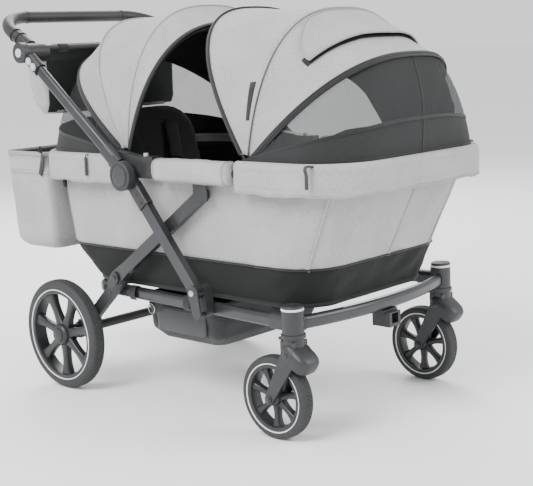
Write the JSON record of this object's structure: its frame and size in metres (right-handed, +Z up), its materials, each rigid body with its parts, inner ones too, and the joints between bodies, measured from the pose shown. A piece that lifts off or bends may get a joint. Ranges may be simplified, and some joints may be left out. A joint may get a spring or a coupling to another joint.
{
  "type": "kids stroller wagon",
  "caption": "Folding stroller wagon for kids with a fabric tub, facing padded seats, two bow canopies, push bar, rear basket, spoked rear wheels and swivel casters.",
  "frame": {"origin": "On the ground at the middle of the overall footprint, under the symmetry plane", "axes": "+Z up, +X toward the front casters and the tow socket, +Y to the wagon's left side"},
  "size_m": [1.2474, 0.68, 0.997],
  "materials": {
    "slate_tube": "satin",
    "bow_spring": "satin",
    "slate_plastic": "satin",
    "black_plastic": "matte",
    "silver_ring": "satin",
    "pale_button": "satin",
    "reflective": "gloss",
    "grip_leatherette": "matte",
    "tyre_rubber": "matte",
    "heather_fabric": "matte",
    "black_fabric": "matte",
    "seat_fabric": "matte"
  },
  "bodies": {
    "chassis": {"side_tubes": "slate_tube", "rear_tube": "slate_tube", "front_tube": "slate_tube", "reflective_strip": "reflective", "tow_socket": "black_plastic", "caster_housings": "slate_plastic", "housing_rings": "silver_ring", "rear_axle": "slate_tube", "axle_brackets": "slate_plastic", "rear_legs": "slate_plastic", "link_feet": "black_plastic", "floor_board": "black_plastic", "tub_lower": "black_fabric", "seat_cushions": "seat_fabric", "under_bag": "black_fabric", "frame_screws": "silver_ring"},
    "front_links": {"front_links": "slate_tube"},
    "rear_links": {"rear_links": "slate_tube"},
    "upper_frame": {"front_rail": "slate_tube", "rear_rail": "slate_tube", "tub_upper": "heather_fabric", "rim_cover_front": "heather_fabric", "rim_cover_rear": "heather_fabric", "rail_pads": "heather_fabric", "hub_joints": "slate_plastic", "link_guides": "black_plastic", "handle_tubes": "slate_tube", "adjusters": "slate_plastic", "crossbar": "black_plastic", "organiser": "heather_fabric", "rear_basket": "heather_fabric", "front_mesh": "black_fabric", "rear_mesh": "black_fabric", "fixed_bows": "bow_spring"},
    "front_canopy_mid": {"front_bow_mid": "bow_spring", "front_panel_low": "heather_fabric"},
    "front_canopy_edge": {"front_bow_edge": "bow_spring", "front_panel_high": "heather_fabric"},
    "rear_canopy_mid": {"rear_bow_mid": "bow_spring", "rear_panel_low": "heather_fabric"},
    "rear_canopy_edge": {"rear_bow_edge": "bow_spring", "rear_panel_high": "heather_fabric"},
    "handlebar": {"grip_bar": "grip_leatherette"},
    "adjuster_button_left": {"adjuster_button_left": "pale_button"},
    "adjuster_button_right": {"adjuster_button_right": "pale_button"},
    "fold_buttons": {"fold_buttons": "pale_button"},
    "caster_buttons": {"caster_buttons": "pale_button"},
    "caster_left": {"fork_left": "slate_plastic"},
    "caster_right": {"fork_right": "slate_plastic"},
    "rear_wheel_left": {"rear_rim_left": "black_plastic", "rear_tyre_left": "tyre_rubber"},
    "rear_wheel_right": {"rear_rim_right": "black_plastic", "rear_tyre_right": "tyre_rubber"},
    "front_wheel_left": {"front_rim_left": "black_plastic", "front_tyre_left": "tyre_rubber"},
    "front_wheel_right": {"front_rim_right": "black_plastic", "front_tyre_right": "tyre_rubber"},
    "brake": {"brake_levers": "black_plastic"},
    "seat_back_front": {"seat_back_front": "seat_fabric"},
    "seat_back_rear": {"seat_back_rear": "seat_fabric"}
  },
  "joints": [
    {"name": "fold", "type": "slide", "parent": "chassis", "child": "upper_frame", "axis": [-0.5775, 0, -0.8164], "range_m": [0, 0.1837], "deforming": ["tub_upper"]},
    {"name": "front_link_swing", "type": "hinge", "parent": "chassis", "child": "front_links", "pos_m": [0.17175, 0, 0.32], "axis": [0, -1, 0], "range_deg": [0, 31.5]},
    {"name": "rear_link_swing", "type": "hinge", "parent": "chassis", "child": "rear_links", "pos_m": [-0.14525, 0, 0.318], "axis": [0, 1, 0], "range_deg": [0, 24]},
    {"name": "rear_seat_back_fold", "type": "hinge", "parent": "chassis", "child": "seat_back_rear", "pos_m": [-0.27725, 0, 0.4238], "axis": [0, 1, 0], "range_deg": [0, 60.5]},
    {"name": "front_seat_back_fold", "type": "hinge", "parent": "chassis", "child": "seat_back_front", "pos_m": [0.39475, 0, 0.4238], "axis": [0, -1, 0], "range_deg": [0, 60.5]},
    {"name": "handle_tilt", "type": "hinge", "parent": "upper_frame", "child": "handlebar", "pos_m": [-0.41339, 0, 0.88393], "axis": [0, 1, 0], "range_deg": [-60, 75]},
    {"name": "adjuster_press_left", "type": "slide", "parent": "upper_frame", "child": "adjuster_button_left", "axis": [0, -1, 0], "range_m": [0, 0.004], "stiffness_N_per_m": 800, "springref_m": -0.003},
    {"name": "adjuster_press_right", "type": "slide", "parent": "upper_frame", "child": "adjuster_button_right", "axis": [0, 1, 0], "range_m": [0, 0.004], "stiffness_N_per_m": 800, "springref_m": -0.003},
    {"name": "fold_button_press", "type": "slide", "parent": "upper_frame", "child": "fold_buttons", "axis": [0, 0, -1], "range_m": [0, 0.004], "stiffness_N_per_m": 800, "springref_m": -0.003},
    {"name": "caster_button_press", "type": "slide", "parent": "chassis", "child": "caster_buttons", "axis": [1, 0, 0], "range_m": [0, 0.003], "stiffness_N_per_m": 800, "springref_m": -0.003},
    {"name": "caster_swivel_left", "type": "hinge", "parent": "chassis", "child": "caster_left", "pos_m": [0.44675, 0.283, 0.2], "axis": [0, 0, 1], "continuous": true},
    {"name": "front_wheel_spin_left", "type": "hinge", "parent": "caster_left", "child": "front_wheel_left", "pos_m": [0.38975, 0.283, 0.0974], "axis": [0, 1, 0], "continuous": true},
    {"name": "caster_swivel_right", "type": "hinge", "parent": "chassis", "child": "caster_right", "pos_m": [0.44675, -0.283, 0.2], "axis": [0, 0, 1], "continuous": true},
    {"name": "front_wheel_spin_right", "type": "hinge", "parent": "caster_right", "child": "front_wheel_right", "pos_m": [0.38975, -0.283, 0.0974], "axis": [0, 1, 0], "continuous": true},
    {"name": "rear_wheel_spin_left", "type": "hinge", "parent": "chassis", "child": "rear_wheel_left", "pos_m": [-0.35925, 0.302, 0.146], "axis": [0, 1, 0], "continuous": true},
    {"name": "rear_wheel_spin_right", "type": "hinge", "parent": "chassis", "child": "rear_wheel_right", "pos_m": [-0.35925, -0.302, 0.146], "axis": [0, 1, 0], "continuous": true},
    {"name": "brake_press", "type": "hinge", "parent": "chassis", "child": "brake", "pos_m": [-0.35925, 0, 0.146], "axis": [0, -1, 0], "range_deg": [0, 15]},
    {"name": "front_canopy_fold", "type": "hinge", "parent": "upper_frame", "child": "front_canopy_mid", "pos_m": [0.31875, 0, 0.62], "axis": [0, 1, 0], "range_deg": [0, 34], "deforming": ["front_panel_low"]},
    {"name": "front_canopy_edge_fold", "type": "hinge", "parent": "front_canopy_mid", "child": "front_canopy_edge", "pos_m": [0.31875, 0, 0.62], "axis": [0, 1, 0], "range_deg": [0, 39.5], "deforming": ["front_panel_high"]},
    {"name": "rear_canopy_fold", "type": "hinge", "parent": "upper_frame", "child": "rear_canopy_mid", "pos_m": [-0.08625, 0, 0.622], "axis": [0, -1, 0], "range_deg": [0, 12], "deforming": ["rear_panel_low"]},
    {"name": "rear_canopy_edge_fold", "type": "hinge", "parent": "rear_canopy_mid", "child": "rear_canopy_edge", "pos_m": [-0.08625, 0, 0.622], "axis": [0, -1, 0], "range_deg": [0, 31.5], "deforming": ["rear_panel_high"]}
  ],
  "couplings": [
    {"joint": "front_link_swing", "follows": "fold", "rad_per_m": 2.96},
    {"joint": "rear_link_swing", "follows": "fold", "rad_per_m": 2.242},
    {"joint": "rear_seat_back_fold", "follows": "fold", "rad_per_m": 5.7},
    {"joint": "front_seat_back_fold", "follows": "fold", "rad_per_m": 5.7},
    {"joint": "front_canopy_edge_fold", "follows": "front_canopy_fold", "ratio": 1.147},
    {"joint": "rear_canopy_edge_fold", "follows": "rear_canopy_fold", "ratio": 2.583}
  ]
}
